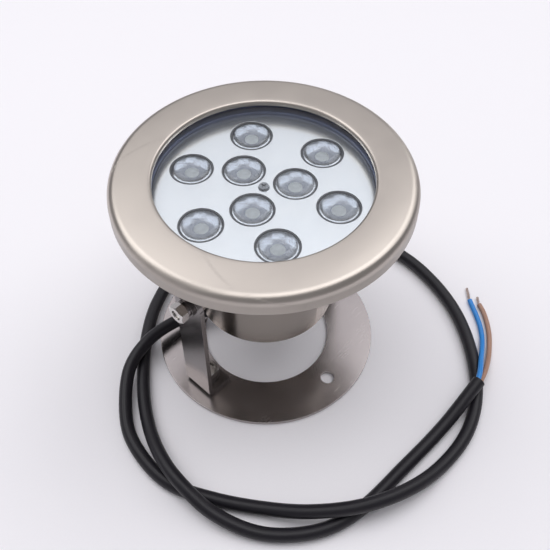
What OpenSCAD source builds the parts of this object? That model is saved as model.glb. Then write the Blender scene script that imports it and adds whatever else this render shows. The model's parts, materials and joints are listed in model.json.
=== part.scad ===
// Underwater pool and fountain light on a ring-shaped stand.
// The floor is z = 0, +Z is up, and the head tilts about the X axis at pivot_h.

/* [Overall] */
// Height from the floor to the top of the trim ring
total_h = 139; // [136:0.5:144]
// Height of the tilt axis above the floor
pivot_h = 84; // [80:0.5:88]

/* [Trim ring] */
// Outer diameter of the trim ring
ring_od = 160; // [156:1:168]
// Diameter of the round window in the trim ring
window_d = 114.4; // [112:0.2:115]
// Sheet thickness of the trim ring
ring_sheet = 1.2; // [0.8:0.1:1.5]
// Height of the trim ring from its lower edge to its top
skirt_h = 12; // [10:0.5:14]
// Radius of the rounded outer edge
ring_edge_r = 5; // [2:0.25:6]
// How much higher the window's edge stands than the outer edge
ring_crown = 0.8; // [0.2:0.1:1.2]

/* [Glass and seals] */
// Diameter of the toughened glass
glass_d = 124; // [122:0.5:126]
// Thickness of the toughened glass
glass_t = 5; // [4:0.5:5.5]

/* [Housing] */
// Diameter of the can under the light
can_d = 79; // [74:1:82]
// Height of the can's underside above the floor
can_floor_h = 44.5; // [44:0.5:50]
// Diameter of the shallow pan under the trim ring
pan_d = 119; // [118.5:0.1:119.5]
// Depth of the shallow pan
pan_h = 17; // [16:0.5:20]
// Wall thickness of can and pan
wall = 1.4; // [1.2:0.1:1.6]

/* [LEDs] */
// Radius of the outer circle of lenses
outer_circle_r = 40.7; // [40:0.1:41.5]
// Radius of the inner circle of lenses
inner_circle_r = 16.6; // [16:0.1:17]
// Diameter of each lens hole in the cover plate
lens_hole_d = 23.4; // [23.2:0.1:23.8]
// Turn of the lens pattern against the tilt axis
led_turn = -6.5; // [-30:0.5:30]

/* [Stand] */
// Outer diameter of the base ring
base_od = 134; // [130:1:140]
// Diameter of the opening in the base ring
base_id = 78; // [74:1:80]
// Thickness of the base ring
base_t = 2; // [1.5:0.1:2.5]
// Pitch circle of the two mounting holes
mount_pcd = 104; // [100:1:108]
// Diameter of the mounting holes
mount_hole_d = 8; // [6:0.5:9]
// Distance between the outer faces of the two brackets
bracket_span = 118; // [117:0.5:120]
// Width of each bracket
bracket_w = 20; // [16:0.5:20]
// Thickness of each bracket
bracket_t = 3; // [2.5:0.1:3.2]
// Length of each bracket's foot along the base
foot_len = 17; // [16.5:0.1:17.5]

/* [Cable] */
// Diameter of the rubber cable
cable_d = 7.8; // [7:0.1:8]
// Diameter of each insulated core
core_d = 3.2; // [2.6:0.1:3.2]

/* [Hidden] */
LENS_COUNT = 9;
LENS_NODES = [for (i = [1:LENS_COUNT]) str("lens_", i)];

$fn = 96;
SIDES = [-1, 1];
STEEL = "#b4aca4";

// Heights in the head, from the top down
ring_r = ring_od / 2;
ring_top_out = total_h - ring_crown;
skirt_z = total_h - skirt_h;
lip_r = 1.8;
lip_z = total_h - 2.8;
glass_top = lip_z - 0.2;
glass_z = glass_top - glass_t;
plate_t = 1.5;
plate_top = glass_z - 1.65;
flange_z = glass_z - 2;
flange_t = 1.5;
flange_r = 76;
pan_z = flange_z - pan_h;
spreader_t = 2;
board_z = pan_z + wall + spreader_t;
board_t = 1.6;
board_top = board_z + board_t;
seat_r = 58;

// The driver board in the can, and where the two leads come up through it
can_inside = can_floor_h + wall;
driver_z = 66;
driver_t = 1.6;
driver_top = driver_z + driver_t;
standoff_at_r = 29;
tail_top = 58;
lead_y = -22;
LEAD_X = [-5.5, 0.5];

// Stations along the pivot axis, outwards from the can
bracket_out = bracket_span / 2;
bracket_in = bracket_out - bracket_t;
thread_r = 3;
stud_hole_r = thread_r + 0.08;
washer_r = 5.9;
washer_t = 1.6;
spring_t = 1.6;
nut_af = 10;
nut_h = 5;
boss_gap = 0.1;

// Foot fasteners
foot_stud_x = bracket_out - 10;
foot_top = base_t + bracket_t;

// Places of the six outer lenses, then the three inner ones
function polar(r, a, z) = [r * cos(a), r * sin(a), z];
LENS_AT = concat(
    [for (i = [0:5]) polar(outer_circle_r, led_turn + 60 * i, 0)],
    [for (i = [0:2]) polar(inner_circle_r, led_turn - 30 + 120 * i, 0)]);

// The cable's route over the floor, from the gland to its cut end
CABLE_ROUTE = [
    [0, 0, 37], [0, 4.3, 25.3], [-2, 14, 15.3], [-9, 25.8, 10.3], [-22.5, 35.8, 9],
    [-42, 41.8, 10.9], [-63.5, 41.5, 12.4], [-84, 34.5, 9.1], [-105, 12, 4.2], [-113, -11, 4.2],
    [-113, -35, 4.2], [-103, -58, 4.2], [-89, -81, 5], [-74, -103, 10], [-53, -122, 12.3],
    [-27, -134, 10], [0, -138, 4.5], [27, -136, 4.2], [52, -125, 4.2], [74, -106, 4.2],
    [92, -82, 4.2], [103, -55, 4.2], [107, -26, 4.2], [102, 12, 4.2], [81, 47, 4.2],
    [46, 71, 4.2], [5, 78, 4.2], [-33, 66, 4.2], [-61, 46, 4.2], [-82, 24, 4.2],
    [-97, 2, 5], [-107, -21, 10], [-111, -43, 12.3], [-109, -67, 7.5], [-98, -92, 4.2],
    [-77, -112, 4.2], [-52, -121, 4.2], [-16, -123, 4.2], [20, -124, 5.5], [55, -123, 12.4]];
gland_z = CABLE_ROUTE[0].z;
// A point above the gland that makes the cable leave it straight down
CABLE_LEAD = [CABLE_ROUTE[1].x, CABLE_ROUTE[1].y, 2 * gland_z - CABLE_ROUTE[1].z];

// The two cores, from the cut end of the jacket down to the floor
BLUE_ROUTE = [
    [54.68, -122.26, 13.87], [61.1, -119.5, 12.9], [70.3, -114.7, 9], [80.3, -109.5, 4.8],
    [89.3, -104.1, 1.9], [95.8, -98.3, 1.7], [101.4, -91.6, 1.7], [109.1, -80.8, 1.7]];
BROWN_ROUTE = [
    [55.38, -123.74, 10.94], [66.1, -120.8, 8], [76.6, -116.7, 4], [85.4, -112.1, 1.9],
    [93.2, -106.9, 1.7], [100, -101, 1.7], [106.6, -93.6, 1.7], [110.3, -87.5, 1.7]];
BLUE_STRANDS = [[109.1, -80.8, 1.7], [112.6, -77.3, 1.5], [116.2, -73.7, 1.3]];
BROWN_STRANDS = [[110.3, -87.5, 1.7], [112.4, -85.2, 1.5], [114.7, -83.2, 1.3]];

// --- Tubes swept along a smooth curve through a route's points ---

function curve_point(p0, p1, p2, p3, t) =
    0.5 * (2 * p1 + (p2 - p0) * t + (2 * p0 - 5 * p1 + 4 * p2 - p3) * t * t
        + (3 * p1 - p0 - 3 * p2 + p3) * t * t * t);

function smooth_route(route, lead, steps) =
    let (last = len(route) - 1,
        tail = 2 * route[last] - route[last - 1],
        q = concat([lead], route, [tail]))
    concat(
        [for (i = [1:last], k = [0:steps - 1])
            curve_point(q[i - 1], q[i], q[i + 1], q[i + 2], k / steps)],
        [route[last]]);

function unit(v) = v / norm(v);

function tangent(path, i) =
    unit(path[min(i + 1, len(path) - 1)] - path[max(i - 1, 0)]);

function end_way(path) = tangent(path, len(path) - 1);

function straight_lead(route) = 2 * route[0] - route[1];

// Side vector square to the run, carried along the path so that the tube doesn't twist
function carried(side, along) = unit(side - (side * along) * along);

function side_vectors(ways, side, i = 0) =
    i >= len(ways) ? []
    : let (s = carried(side, ways[i]))
        concat([s], side_vectors(ways, s, i + 1));

module swept_tube(path, d, sides, first_side, first_way) {
    n = len(path);
    ways = [for (i = [0:n - 1]) i == 0 ? first_way : tangent(path, i)];
    across = side_vectors(ways, first_side);
    rings = [for (i = [0:n - 1])
        let (u = across[i], v = cross(ways[i], u))
        for (k = [0:sides - 1])
            path[i] + d / 2 * (cos(360 * k / sides) * u + sin(360 * k / sides) * v)];
    walls = [for (i = [0:n - 2], k = [0:sides - 1])
        let (a = i * sides + k, b = i * sides + (k + 1) % sides)
        each [[a, a + sides, b], [b, a + sides, b + sides]]];
    start_cap = [for (k = [0:sides - 1]) k];
    end_cap = [for (k = [sides - 1:-1:0]) (n - 1) * sides + k];
    polyhedron(points = rings, faces = concat(walls, [start_cap, end_cap]));
}

// --- Common shapes ---

module tube(r_out, r_in, h) {
    difference() {
        cylinder(r = r_out, h = h);
        translate([0, 0, -1]) cylinder(r = r_in, h = h + 2);
    }
}

module hex(af, h) {
    cylinder(r = af / sqrt(3), h = h, $fn = 6);
}

// A hexagon nut whose corners are rounded off at both faces, as a turned nut has
module nut(af, h, hole_r) {
    difference() {
        intersection() {
            hex(af, h);
            rotate_extrude() polygon([
                [0, 0], [af * 0.5, 0], [af * 0.58, 0.6],
                [af * 0.58, h - 0.6], [af * 0.5, h], [0, h]]);
        }
        translate([0, 0, -1]) cylinder(r = hole_r, h = h + 2);
    }
}

// A split spring washer
module spring_washer(r_out, r_in, h) {
    difference() {
        tube(r_out, r_in, h);
        translate([0, -0.5, -1]) cube([r_out + 1, 1, h + 2]);
    }
}

// Puts its children on both ends of the tilt axis, with +Z pointing outwards
module at_pivots(from_axis) {
    for (s = SIDES) translate([s * from_axis, 0, pivot_h]) rotate([0, s * 90, 0]) children();
}

module at_feet(z) {
    for (s = SIDES) translate([s * foot_stud_x, 0, z]) children();
}

module at_lenses(z) {
    for (p = LENS_AT) translate([p.x, p.y, z]) children();
}

module at_trim_screws(z) {
    for (i = [0:5]) rotate(30 + 60 * i) translate([69, 0, z]) children();
}

module quarter_bend(r, t, turn) {
    rotate(turn) intersection() {
        difference() {
            circle(r);
            circle(r - t);
        }
        square(r + 1);
    }
}

// --- Trim ring, glass and seals ---

module trim_ring() {
    window_r = window_d / 2;
    bead = 0.35;
    hem_h = 0.9;
    bend_z = ring_top_out - ring_edge_r;
    color(STEEL) rotate_extrude() {
        translate([window_r, lip_z]) square([ring_sheet, total_h - lip_r - lip_z]);
        translate([window_r + lip_r, total_h - lip_r]) quarter_bend(lip_r, ring_sheet, 90);
        polygon([
            [window_r + lip_r, total_h - ring_sheet], [ring_r - ring_edge_r, ring_top_out - ring_sheet],
            [ring_r - ring_edge_r, ring_top_out], [window_r + lip_r, total_h]]);
        translate([ring_r - ring_edge_r, bend_z]) quarter_bend(ring_edge_r, ring_sheet, 0);
        translate([ring_r - ring_sheet, bend_z - 0.6]) square([ring_sheet, 0.6]);
        translate([ring_r - ring_sheet - bead, skirt_z]) square([ring_sheet, bend_z - skirt_z]);
        translate([ring_r - ring_sheet, skirt_z]) square([ring_sheet, hem_h]);
    }
}

module upper_gasket() {
    inner_r = window_d / 2 + lip_r;
    color("#1c1f24") translate([0, 0, glass_top]) tube(glass_d / 2, inner_r, total_h - 1.5 - glass_top);
}

module front_glass() {
    color("#d8ecf0", 0.3) translate([0, 0, glass_z]) cylinder(d = glass_d, h = glass_t);
}

// The seat under the glass, with a wall that stands up round the glass's edge
module lower_gasket() {
    outer_r = glass_d / 2 + 1.5;
    color("#1c1f24") translate([0, 0, flange_z]) {
        tube(outer_r, seat_r, glass_z - flange_z);
        tube(outer_r, glass_d / 2, total_h - 1.5 - flange_z);
    }
}

// --- Housing: flange, shallow pan and can in one welded shell ---

module housing() {
    can_r = can_d / 2;
    pan_r = pan_d / 2;
    corner = 1.2;
    below = flange_z - flange_t;
    color(STEEL) difference() {
        rotate_extrude() {
            translate([seat_r, below]) square([flange_r - seat_r, flange_t]);
            translate([pan_r - wall, pan_z]) square([wall, flange_z - pan_z]);
            translate([can_r - wall, pan_z]) square([pan_r - can_r + wall, wall]);
            translate([can_r - wall, can_floor_h + corner]) square([wall, pan_z - can_floor_h]);
            translate([0, can_floor_h]) square([can_r - corner, wall]);
            translate([can_r - corner - 1, can_floor_h + corner - 0.2]) square([1, 0.4]);
            translate([can_r - corner, can_floor_h + corner]) circle(corner);
        }
        translate([0, 0, can_floor_h - 1]) cylinder(r = 6.1, h = wall + 2);
        at_trim_screws(below - 1) cylinder(r = 2.1, h = flange_t + 2);
    }
}

module trim_screws() {
    length = 7;
    color("silver") at_trim_screws(flange_z - flange_t) {
        cylinder(r = 2, h = length);
        difference() {
            translate([0, 0, -2.4]) cylinder(r = 3.6, h = 2.4);
            translate([0, 0, -2.5]) hex(3, 1.4);
        }
    }
}

module trim_nuts() {
    h = 3.2;
    color("silver") at_trim_screws(ring_top_out - ring_sheet - h) nut(7, h, 2);
}

// --- Light unit ---

module led_cover_plate() {
    color("#c9dbe8") difference() {
        translate([0, 0, plate_top - plate_t]) cylinder(r = seat_r - 0.4, h = plate_t);
        at_lenses(plate_top - plate_t - 1) cylinder(d = lens_hole_d, h = plate_t + 2);
        translate([0, 0, plate_top - plate_t - 1]) cylinder(r = 1.7, h = plate_t + 2);
    }
}

module centre_screw() {
    head_h = 1.4;
    head_r = 3.1;
    slot_w = 0.7;
    color("silver") {
        translate([0, 0, plate_top - 8]) cylinder(r = 1.5, h = 8.1);
        difference() {
            translate([0, 0, plate_top]) cylinder(r1 = head_r, r2 = head_r - 0.6, h = head_h);
            for (a = [0, 90]) rotate(a)
                translate([-1.7, -slot_w / 2, plate_top + 0.5]) cube([3.4, slot_w, 2]);
        }
    }
}

module centre_standoff() {
    h = plate_top - plate_t - board_top;
    color("goldenrod") difference() {
        translate([0, 0, board_top]) hex(6, h);
        translate([0, 0, board_top + 2]) cylinder(r = 1.5, h = h);
    }
}

// One moulded lens: a cone that gathers the light, a flange and a shallow dome
module lens() {
    flange_top = plate_top - 0.7;
    cone_top = flange_top - 1.2;
    foot = board_top + 1.7;
    color("#e6f0f2", 0.5) difference() {
        union() {
            translate([0, 0, foot]) cylinder(r1 = 4.2, r2 = 9.4, h = cone_top - foot);
            translate([0, 0, cone_top]) cylinder(r = 10.8, h = 1.2);
            intersection() {
                translate([0, 0, flange_top - 20]) sphere(r = 21.6);
                translate([0, 0, flange_top - 0.1]) cylinder(r = 8.4, h = 4);
            }
        }
        translate([0, 0, foot - 1]) cylinder(r = 3, h = 4);
    }
}

module lens_at(i) {
    translate([LENS_AT[i].x, LENS_AT[i].y, 0]) lens();
}

module lens_holders() {
    rim_top = plate_top - 0.2;
    ledge = plate_top - 0.7 - 1.2;
    cone_h = ledge - board_top - 1.7;
    color("#23262b") at_lenses(board_top) difference() {
        cylinder(r = 11.5, h = rim_top - board_top);
        translate([0, 0, ledge - board_top]) cylinder(r = 10.9, h = 5);
        translate([0, 0, 1.7]) cylinder(r1 = 4.5, r2 = 9.7, h = cone_h + 0.01);
        translate([0, 0, -1]) cylinder(r = 4.5, h = 3);
    }
}

module led_emitters() {
    color("#cfc88c") at_lenses(board_top) {
        cylinder(r = 4, h = 1.2);
        intersection() {
            translate([0, 0, 0.6]) sphere(r = 2.4);
            cylinder(r = 3, h = 4);
        }
    }
}

module at_board_screws(z) {
    for (i = [0:2]) rotate(led_turn + 30 + 120 * i) translate([51, 0, z]) children();
}

module led_board() {
    color("whitesmoke") difference() {
        translate([0, 0, board_z]) cylinder(r = 56, h = board_t);
        at_board_screws(board_z - 1) cylinder(r = 1.6, h = board_t + 2);
        translate([0, 29, board_z - 1]) cylinder(r = 2.5, h = board_t + 2);
    }
}

module board_screws() {
    color("silver") at_board_screws(board_top) {
        translate([0, 0, -3.4]) cylinder(r = 1.5, h = 3.5);
        cylinder(r1 = 2.8, r2 = 2.3, h = 1.8);
    }
}

module heat_spreader() {
    color("#a9adb0") difference() {
        translate([0, 0, pan_z + wall]) cylinder(r = 57, h = spreader_t);
        at_board_screws(pan_z) cylinder(r = 1.5, h = 5);
        translate([0, 29, pan_z]) cylinder(r = 2.5, h = 5);
    }
}

// --- Driver and wiring in the can ---

module at_standoffs(z) {
    for (i = [0:2]) rotate(90 + 120 * i) translate([standoff_at_r, 0, z]) children();
}

module driver_board() {
    hole_h = driver_t + 2;
    color("#2f6b45") difference() {
        translate([0, 0, driver_z]) cylinder(r = 34, h = driver_t);
        at_standoffs(driver_z - 1) cylinder(r = 1.6, h = hole_h);
        for (x = LEAD_X) translate([x, lead_y, driver_z - 1]) cylinder(r = core_d / 2 + 0.3, h = hole_h);
    }
}

module driver_standoffs() {
    color("goldenrod") at_standoffs(can_inside) {
        hex(5.5, driver_z - can_inside);
        translate([0, 0, driver_z - can_inside]) cylinder(r = 1.5, h = driver_t);
        translate([0, 0, driver_top - can_inside]) nut(5.5, 2.4, 1.4);
    }
}

// Two capacitors, a ring-shaped coil and a power chip with its heat tab
module driver_parts() {
    color("#30343a") {
        for (y = [12, -4]) translate([-18, y, driver_top]) cylinder(r = 5, h = 13);
        translate([6, 12, driver_top]) tube(9, 4, 7);
        translate([12, -16, driver_top]) cube([10, 4.5, 12]);
    }
}

module terminal_block() {
    color("#3d7a58") translate([-10, lead_y - 4, driver_top]) cube([15, 8, 9]);
}

module gland_body() {
    spigot_z = gland_z + 1.6;
    color(STEEL) difference() {
        union() {
            translate([0, 0, can_floor_h - 3]) hex(17, 3);
            translate([0, 0, spigot_z]) cylinder(r = 6.2, h = can_floor_h - 3 - spigot_z);
            translate([0, 0, can_floor_h]) cylinder(r = 6, h = 9);
        }
        translate([0, 0, spigot_z - 1]) cylinder(r = 5.2, h = 30);
    }
}

module gland_seal() {
    color("#1c1f24") translate([0, 0, gland_z + 1.6]) tube(5.2, cable_d / 2, 13);
}

module gland_nut() {
    h = can_floor_h - 3 - gland_z;
    color(STEEL) difference() {
        translate([0, 0, gland_z]) nut(16, h, 4.2);
        translate([0, 0, gland_z + 1.6]) cylinder(r = 6.2, h = h);
    }
}

module gland_locknut() {
    color(STEEL) translate([0, 0, can_inside]) nut(17, 3, 6);
}

module cable_tail() {
    color("#17181c") translate([0, 0, gland_z]) cylinder(d = cable_d, h = tail_top - gland_z);
}

// From the cable's inner end up through the driver board to the terminal block
module inner_leads() {
    for (i = [0, 1]) {
        start = [(i == 0 ? -1 : 1) * 1.6, 0, tail_top];
        x = LEAD_X[i];
        route = [
            start, start + [0, -1, 3], [x, lead_y + 6, driver_z - 4], [x, lead_y + 0.5, driver_z - 3],
            [x, lead_y, driver_top - 0.1]];
        path = smooth_route(route, start + [0, -1, -3], 3);
        color(i == 0 ? "#3f86d2" : "#a86f43") swept_tube(path, core_d, 8, [1, 0, 0], [0, 0, 1]);
    }
}

// --- Pivots ---

// Each boss is welded to the can, so its inner end follows the can's curve
module pivot_bosses() {
    length = bracket_in - boss_gap - can_d / 2 + 6;
    color(STEEL) difference() {
        at_pivots(bracket_in - boss_gap - length) cylinder(r = 7, h = length);
        translate([0, 0, pivot_h - 20]) cylinder(d = can_d, h = 40);
        at_pivots(can_d / 2 - 3) cylinder(r = thread_r, h = 30);
    }
}

module pivot_studs() {
    stud_out = bracket_out + washer_t + spring_t + nut_h - 0.9;
    stud_in = can_d / 2 + 1;
    color("silver") at_pivots(stud_in) cylinder(r = thread_r, h = stud_out - stud_in);
}

module pivot_flat_washers() {
    color(STEEL) at_pivots(bracket_out) tube(washer_r, stud_hole_r, washer_t);
}

module pivot_spring_washers() {
    color(STEEL) at_pivots(bracket_out + washer_t) spring_washer(5.1, stud_hole_r, spring_t);
}

module pivot_nuts() {
    color("silver") at_pivots(bracket_out + washer_t + spring_t) nut(nut_af, nut_h, thread_r);
}

// --- Stand ---

module base_plate() {
    color(STEEL) difference() {
        tube(base_od / 2, base_id / 2, base_t);
        for (s = SIDES) translate([0, s * mount_pcd / 2, -1]) cylinder(d = mount_hole_d, h = base_t + 2);
        at_feet(-1) cylinder(r = thread_r, h = base_t + 2);
    }
}

// An L of flat bar: a round top about the pivot and a foot turned inwards
module bracket(side) {
    bend_out = bracket_t + 1;
    upright_z = base_t + bend_out;
    bend_x = bracket_out - bend_out;
    hole_h = bracket_t + 2;
    color(STEEL) rotate(side > 0 ? 0 : 180) difference() {
        union() {
            translate([bracket_in, -bracket_w / 2, upright_z])
                cube([bracket_t, bracket_w, pivot_h - upright_z]);
            translate([bracket_in, 0, pivot_h]) rotate([0, 90, 0]) cylinder(d = bracket_w, h = bracket_t);
            translate([bend_x, bracket_w / 2, upright_z]) rotate([90, 0, 0])
                linear_extrude(bracket_w) quarter_bend(bend_out, bracket_t, -90);
            translate([bracket_out - foot_len, -bracket_w / 2, base_t])
                cube([foot_len - bend_out, bracket_w, bracket_t]);
        }
        translate([bracket_in - 1, 0, pivot_h]) rotate([0, 90, 0]) cylinder(r = stud_hole_r, h = hole_h);
        translate([foot_stud_x, 0, base_t - 1]) cylinder(r = stud_hole_r, h = hole_h);
    }
}

module bracket_left() {
    bracket(-1);
}

module bracket_right() {
    bracket(1);
}

module foot_studs() {
    color("silver") at_feet(0) cylinder(r = thread_r, h = foot_top + washer_t + spring_t + nut_h - 1);
}

module foot_flat_washers() {
    color(STEEL) at_feet(foot_top) tube(washer_r, stud_hole_r, washer_t);
}

module foot_spring_washers() {
    color(STEEL) at_feet(foot_top + washer_t) spring_washer(5.1, stud_hole_r, spring_t);
}

module foot_nuts() {
    color("silver") at_feet(foot_top + washer_t + spring_t) nut(nut_af, nut_h, thread_r);
}

// --- Cable ---

CABLE_PATH = smooth_route(CABLE_ROUTE, CABLE_LEAD, 2);
BLUE_PATH = smooth_route(BLUE_ROUTE, straight_lead(BLUE_ROUTE), 2);
BROWN_PATH = smooth_route(BROWN_ROUTE, straight_lead(BROWN_ROUTE), 2);

module power_cable() {
    color("#17181c") swept_tube(CABLE_PATH, cable_d, 10, [1, 0, 0], [0, 0, -1]);
}

module core_blue() {
    color("#3f86d2") swept_tube(BLUE_PATH, core_d, 8, [0, 0, 1], end_way(CABLE_PATH));
}

module core_brown() {
    color("#a86f43") swept_tube(BROWN_PATH, core_d, 8, [0, 0, 1], end_way(CABLE_PATH));
}

module bare_strands(route, first_way) {
    path = smooth_route(route, straight_lead(route), 2);
    color("#a5948c") swept_tube(path, core_d * 0.6, 8, [0, 0, 1], first_way);
}

module strands_blue() {
    bare_strands(BLUE_STRANDS, end_way(BLUE_PATH));
}

module strands_brown() {
    bare_strands(BROWN_STRANDS, end_way(BROWN_PATH));
}

trim_ring();
upper_gasket();
front_glass();
lower_gasket();
housing();
trim_screws();
trim_nuts();
led_cover_plate();
centre_screw();
centre_standoff();
lens_holders();
led_emitters();
led_board();
board_screws();
heat_spreader();
driver_board();
driver_standoffs();
driver_parts();
terminal_block();
gland_body();
gland_seal();
gland_nut();
gland_locknut();
cable_tail();
inner_leads();
pivot_bosses();
pivot_studs();
pivot_flat_washers();
pivot_spring_washers();
pivot_nuts();
base_plate();
bracket_left();
bracket_right();
foot_studs();
foot_flat_washers();
foot_spring_washers();
foot_nuts();
power_cable();
core_blue();
core_brown();
strands_blue();
strands_brown();
for (i = [0:LENS_COUNT - 1])
    lens_at(i);
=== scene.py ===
# %% [markdown]
# # An underwater pool light
# A round stainless lamp sits in a ring base, tilts between two flat brackets, and trails about a metre
# of black two-core cable. The working model of it, with its sizes and its tilt joint, is already packed.
# Here each visible piece gets its final shape and its finish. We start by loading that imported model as
# a fixed frame, because every later piece takes its place from it instead of from loose numbers.

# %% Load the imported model
import json
import math
import bmesh
import bpy
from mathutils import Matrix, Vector

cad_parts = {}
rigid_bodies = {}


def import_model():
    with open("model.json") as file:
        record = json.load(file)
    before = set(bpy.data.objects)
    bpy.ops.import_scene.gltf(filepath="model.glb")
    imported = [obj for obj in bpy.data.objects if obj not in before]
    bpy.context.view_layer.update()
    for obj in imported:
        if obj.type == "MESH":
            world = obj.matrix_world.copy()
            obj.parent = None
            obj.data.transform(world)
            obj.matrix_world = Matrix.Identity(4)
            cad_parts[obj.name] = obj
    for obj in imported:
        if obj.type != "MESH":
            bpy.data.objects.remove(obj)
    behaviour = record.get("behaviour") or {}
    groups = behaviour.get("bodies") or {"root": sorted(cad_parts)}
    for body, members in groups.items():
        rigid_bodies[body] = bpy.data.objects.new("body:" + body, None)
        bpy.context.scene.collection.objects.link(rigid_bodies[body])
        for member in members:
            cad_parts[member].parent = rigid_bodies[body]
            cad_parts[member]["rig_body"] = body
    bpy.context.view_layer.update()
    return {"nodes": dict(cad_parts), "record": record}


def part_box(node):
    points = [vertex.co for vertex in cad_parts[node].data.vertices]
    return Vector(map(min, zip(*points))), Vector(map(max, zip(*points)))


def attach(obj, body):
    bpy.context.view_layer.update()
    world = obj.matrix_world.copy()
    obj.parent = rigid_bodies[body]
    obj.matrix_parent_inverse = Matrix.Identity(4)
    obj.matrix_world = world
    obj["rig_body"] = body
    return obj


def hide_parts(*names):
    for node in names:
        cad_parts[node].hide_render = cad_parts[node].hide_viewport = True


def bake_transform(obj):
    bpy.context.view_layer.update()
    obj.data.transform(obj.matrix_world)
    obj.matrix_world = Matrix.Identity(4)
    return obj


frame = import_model()
MM = 0.001

# %% [markdown]
# ## The camera
# The lamp is seen from above one bracket, steeply enough to look into the window and still see the can
# and the base below it. A camera can be aimed by hand or with a constraint. Here it is placed by one
# point and two angles, since those say plainly how a person would hold it: 51 degrees down, and turned
# so that the left bracket comes forward.

# %% Place the camera
CAMERA_AT = (-0.2132, -0.2095, 0.4277)
CAMERA_DOWN = 51.1
CAMERA_TURN = -46.6
IMAGE_SIDE = 550
FOCAL_IN_PIXELS = 812
SENSOR_MM = 36.0

scene = bpy.context.scene
camera_data = bpy.data.cameras.new("camera")
camera_data.sensor_width = SENSOR_MM
camera_data.lens = FOCAL_IN_PIXELS / IMAGE_SIDE * SENSOR_MM
camera_data.clip_start = 0.01
camera = bpy.data.objects.new("camera", camera_data)
camera.location = CAMERA_AT
camera.rotation_euler = (math.radians(90 - CAMERA_DOWN), 0, math.radians(CAMERA_TURN))
scene.collection.objects.link(camera)
scene.camera = camera
print("lens in mm:", round(camera_data.lens, 2))

# %% [markdown]
# ## The cable's route
# The cable leaves the gland under the can, drops to the floor, runs out under the left bracket and lies
# in one loop and a half, with three low humps where it passes over itself. It could be a Blender curve, but
# a mesh tube made along a list of points lets us give its cut end a real wall and keep an exact length.
# The points are listed one by one, and one smooth curve goes through all of them.

# %% The points that the cable and its cores follow
CABLE_POINTS = [
    (0, 0, .037), (0, .0043, .0253), (-.002, .014, .0153), (-.009, .0258, .0103), (-.0225, .0358, .009),
    (-.042, .0418, .0109), (-.0635, .0415, .0124), (-.084, .0345, .0091), (-.105, .012, .0042),
    (-.113, -.011, .0042), (-.113, -.035, .0042), (-.103, -.058, .0042), (-.089, -.081, .005),
    (-.074, -.103, .010), (-.053, -.122, .0123), (-.027, -.134, .010), (0, -.138, .0045),
    (.027, -.136, .0042), (.052, -.125, .0042), (.074, -.106, .0042), (.092, -.082, .0042),
    (.103, -.055, .0042), (.107, -.026, .0042), (.102, .012, .0042), (.081, .047, .0042),
    (.046, .071, .0042), (.005, .078, .0042), (-.033, .066, .0042), (-.061, .046, .0042),
    (-.082, .024, .0042), (-.097, .002, .005), (-.107, -.021, .010), (-.111, -.043, .0123),
    (-.109, -.067, .0075), (-.098, -.092, .0042), (-.077, -.112, .0042), (-.052, -.121, .0042),
    (-.016, -.123, .0042), (.020, -.124, .0055), (.055, -.123, .0124)]
BLUE_POINTS = [
    (.05468, -.12226, .01387), (.0611, -.1195, .0129), (.0703, -.1147, .009), (.0803, -.1095, .0048),
    (.0893, -.1041, .0019), (.0958, -.0983, .0017), (.1014, -.0916, .0017), (.1091, -.0808, .0017)]
BROWN_POINTS = [
    (.05538, -.12374, .01094), (.0661, -.1208, .008), (.0766, -.1167, .004), (.0854, -.1121, .0019),
    (.0932, -.1069, .0017), (.100, -.101, .0017), (.1066, -.0936, .0017), (.1103, -.0875, .0017)]
BLUE_WIRE_POINTS = [(.1091, -.0808, .0017), (.1126, -.0773, .0015), (.1162, -.0737, .0013)]
BROWN_WIRE_POINTS = [(.1103, -.0875, .0017), (.1124, -.0852, .0015), (.1147, -.0832, .0013)]
CABLE_D = 7.8 * MM
CORE_D = 3.2 * MM
print("route points:", len(CABLE_POINTS))


# %% A smooth curve through the points
def smooth_route(points, steps, lead=None):
    """A Catmull-Rom curve through the points, with steps short pieces between each two."""
    points = [Vector(p) for p in points]
    lead = Vector(lead) if lead else 2 * points[0] - points[1]
    q = [lead] + points + [2 * points[-1] - points[-2]]
    line = []
    for a, b, c, d in zip(q, q[1:], q[2:], q[3:]):
        for k in range(steps):
            t = k / steps
            line.append(0.5 * (2 * b + (c - a) * t + (2 * a - 5 * b + 4 * c - d) * t ** 2
                               + (3 * b - a - 3 * c + d) * t ** 3))
    return line + [points[-1]]


def length_of(line):
    return sum((b - a).length for a, b in zip(line, line[1:]))


first, second = CABLE_POINTS[0], CABLE_POINTS[1]
above_gland = (second[0], second[1], 2 * first[2] - second[2])
cable_line = smooth_route(CABLE_POINTS, 8, above_gland)
print("cable length in m:", round(length_of(cable_line), 4))


# %% A tube along such a curve
def ways_along(line, first_way=None):
    ways = [(b - a).normalized() for a, b in zip([line[0]] + line[:-1], line[1:] + [line[-1]])]
    if first_way:
        ways[0] = Vector(first_way)
    return ways


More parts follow.
